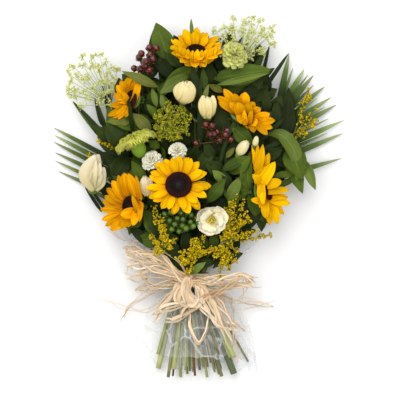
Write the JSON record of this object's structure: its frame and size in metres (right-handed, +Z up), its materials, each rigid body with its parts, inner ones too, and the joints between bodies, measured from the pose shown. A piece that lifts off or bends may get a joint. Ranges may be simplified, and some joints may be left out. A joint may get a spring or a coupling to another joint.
{
  "type": "flower sheaf",
  "caption": "Hand-tied sheaf of sunflowers, roses, berries, goldenrod and palm greenery, tied with raffia and wrapped in clear film; lies flat with its cut stems spread below the tie.",
  "frame": {"origin": "on the table, under the middle of the sheaf's bounding box", "axes": "+Y from the cut stem ends towards the blooms, +X to the right as seen from above, +Z up from the table that the sheaf lies on"},
  "size_m": [0.489, 0.6114, 0.1437],
  "materials": {
    "stem_green": "matt living stem with fine ridges",
    "leaf_green": "satin leaf with veins",
    "palm_green": "satin pleated leaflet",
    "ray_yellow": "velvety petal with fine lengthwise veins",
    "disc_brown": "matt florets",
    "rose_cream": "soft petal",
    "petal_white": "soft petal",
    "petal_lime": "soft fringed petal",
    "berry_red": "glossy berry",
    "berry_green": "satin berry",
    "goldenrod_yellow": "matt bead-like florets",
    "froth_lime": "matt tiny florets",
    "raffia_straw": "dry fibrous strips",
    "cellophane_clear": "clear crinkled film"
  },
  "bodies": {
    "root": {"carnation_left_bloom": "petal_lime", "carnation_left_stem": "stem_green", "carnation_top_bloom": "petal_lime", "carnation_top_stem": "stem_green", "cellophane_wrap": "cellophane_clear", "goldenrod_centre": "goldenrod_yellow", "goldenrod_left": "goldenrod_yellow", "goldenrod_lower_right": "goldenrod_yellow", "goldenrod_right": "goldenrod_yellow", "greens_centre": "leaf_green", "greens_left": "leaf_green", "greens_lower": "leaf_green", "greens_right": "leaf_green", "greens_upper_left": "leaf_green", "greens_upper_right": "leaf_green", "hypericum_centre": "berry_red", "hypericum_green": "berry_green", "hypericum_left": "berry_red", "ladys_mantle": "froth_lime", "lisianthus_bloom": "petal_white", "lisianthus_bud_a_bloom": "petal_white", "lisianthus_bud_b_bloom": "petal_white", "lisianthus_spray_stem": "stem_green", "lisianthus_stem": "stem_green", "palm_centre": "palm_green", "palm_left": "palm_green", "palm_right": "palm_green", "raffia_band": "raffia_straw", "raffia_bow": "raffia_straw", "rose_left_bloom": "rose_cream", "rose_left_stem": "stem_green", "rose_mid_bloom": "rose_cream", "rose_mid_stem": "stem_green", "rose_upper_a_bloom": "rose_cream", "rose_upper_b_bloom": "rose_cream", "rose_upper_stem": "stem_green", "spray_carnation_a_bloom": "petal_white", "spray_carnation_b_bloom": "petal_white", "spray_carnation_stem": "stem_green", "sunflower_centre_disc": "disc_brown", "sunflower_centre_green": "stem_green", "sunflower_centre_rays": "ray_yellow", "sunflower_lower_left_disc": "disc_brown", "sunflower_lower_left_green": "stem_green", "sunflower_lower_left_rays": "ray_yellow", "sunflower_right_disc": "disc_brown", "sunflower_right_green": "stem_green", "sunflower_right_rays": "ray_yellow", "sunflower_top_disc": "disc_brown", "sunflower_top_green": "stem_green", "sunflower_top_rays": "ray_yellow", "sunflower_upper_left_disc": "disc_brown", "sunflower_upper_left_green": "stem_green", "sunflower_upper_left_rays": "ray_yellow", "sunflower_upper_right_disc": "disc_brown", "sunflower_upper_right_green": "stem_green", "sunflower_upper_right_rays": "ray_yellow", "umbel_left": "froth_lime", "umbel_top": "froth_lime"}
  },
  "joints": []
}
